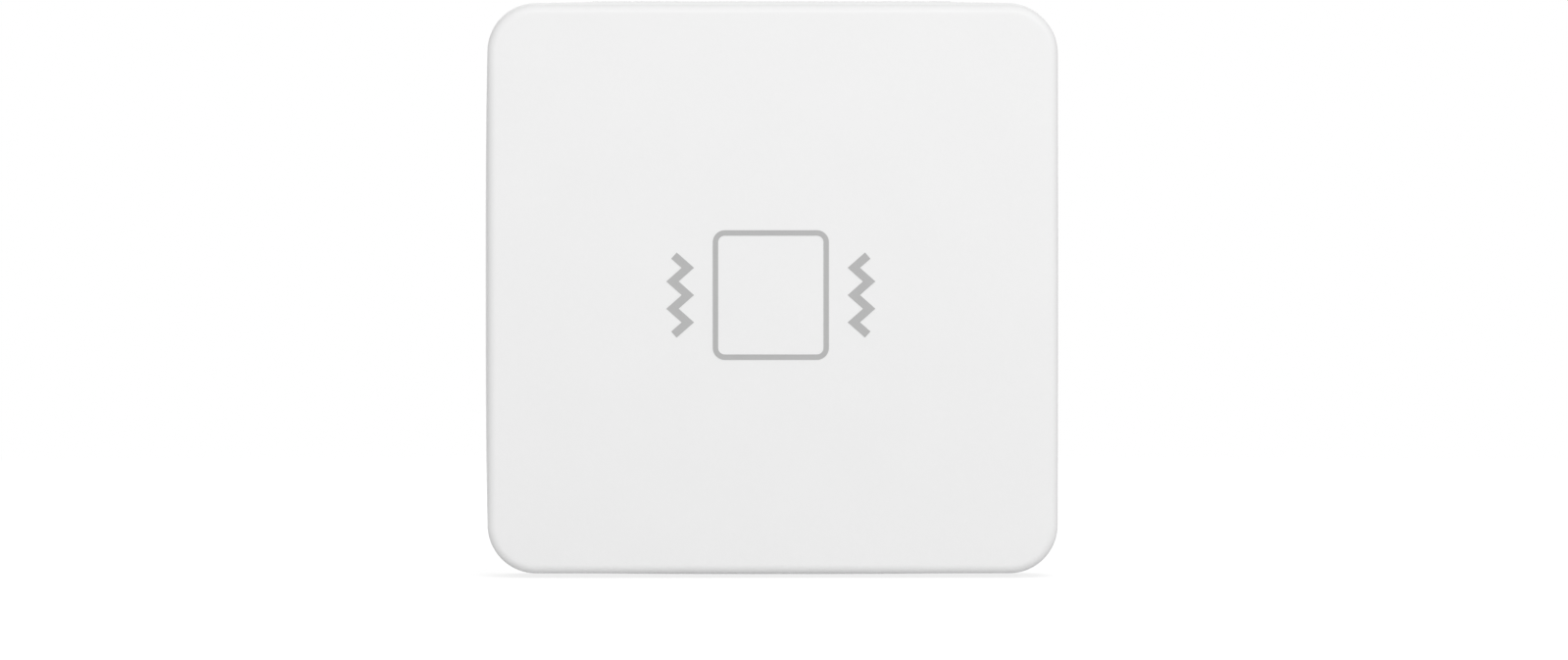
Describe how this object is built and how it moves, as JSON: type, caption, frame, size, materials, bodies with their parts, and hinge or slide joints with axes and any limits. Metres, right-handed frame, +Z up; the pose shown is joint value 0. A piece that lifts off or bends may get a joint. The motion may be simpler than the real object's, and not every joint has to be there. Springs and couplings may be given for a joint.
{
  "type": "vibration sensor tag",
  "caption": "Square white stick-on wireless vibration sensor with a printed vibration symbol, foam tape on its back, and a sliding door over its cells and controls.",
  "frame": {"origin": "middle of the lower edge, under the middle of the whole depth from the tape to the printed face", "axes": "+Z up the face, +X to the right as seen from the front, the printed face towards -Y and the tape towards +Y"},
  "size_m": [0.06, 0.019, 0.06],
  "materials": {
    "white_case": "satin moulded",
    "symbol_ink": "pad printed",
    "foam_tape": "closed-cell foam, tacky",
    "cell_can": "plated metal",
    "cell_wrap": "shrunk film",
    "contact_nickel": "nickel plated",
    "board_laminate": "solder mask",
    "board_copper": "gold flash",
    "chip_black": "moulded resin",
    "shield_tin": "tin plated",
    "capacitor_tan": "fired",
    "tantalum_yellow": "moulded resin",
    "led_resin": "clear resin over phosphor",
    "switch_black": "moulded",
    "screw_steel": "zinc plated"
  },
  "bodies": {
    "case": {"front_shell": "white_case", "printed_symbol": "symbol_ink", "rear_housing": "white_case", "adhesive_strips": "foam_tape", "cell_left": "cell_can", "cell_right": "cell_can", "wrap_left": "cell_wrap", "wrap_right": "cell_wrap", "positive_contact": "contact_nickel", "negative_contact": "contact_nickel", "series_contact": "contact_nickel", "negative_spring": "contact_nickel", "series_spring": "contact_nickel", "circuit_board": "board_laminate", "antenna_trace": "board_copper", "radio_chip": "chip_black", "shield_can": "shield_tin", "accelerometer": "chip_black", "power_chip": "chip_black", "crystal": "shield_tin", "chip_capacitors": "capacitor_tan", "chip_resistors": "chip_black", "bulk_capacitor": "tantalum_yellow", "status_led": "led_resin", "pair_switch_body": "switch_black", "pair_switch_cover": "shield_tin", "pair_switch_legs": "shield_tin", "slide_switch_base": "switch_black", "slide_switch_shell": "shield_tin", "slide_switch_legs": "shield_tin", "case_screws": "screw_steel", "board_screws": "screw_steel"},
    "door": {"battery_door": "white_case"},
    "button": {"pair_button": "switch_black"},
    "slider": {"sensitivity_slider": "switch_black"}
  },
  "joints": [
    {"name": "door_slide", "type": "slide", "parent": "case", "child": "door", "axis": [0, 0, 1], "range_m": [0, 0.057]},
    {"name": "pair_press", "type": "slide", "parent": "case", "child": "button", "axis": [0, -1, 0], "range_m": [0, 0.0003], "stiffness_N_per_m": 600},
    {"name": "sensitivity_slide", "type": "slide", "parent": "case", "child": "slider", "axis": [0, 0, 1], "range_m": [-0.002, 0.002]}
  ]
}
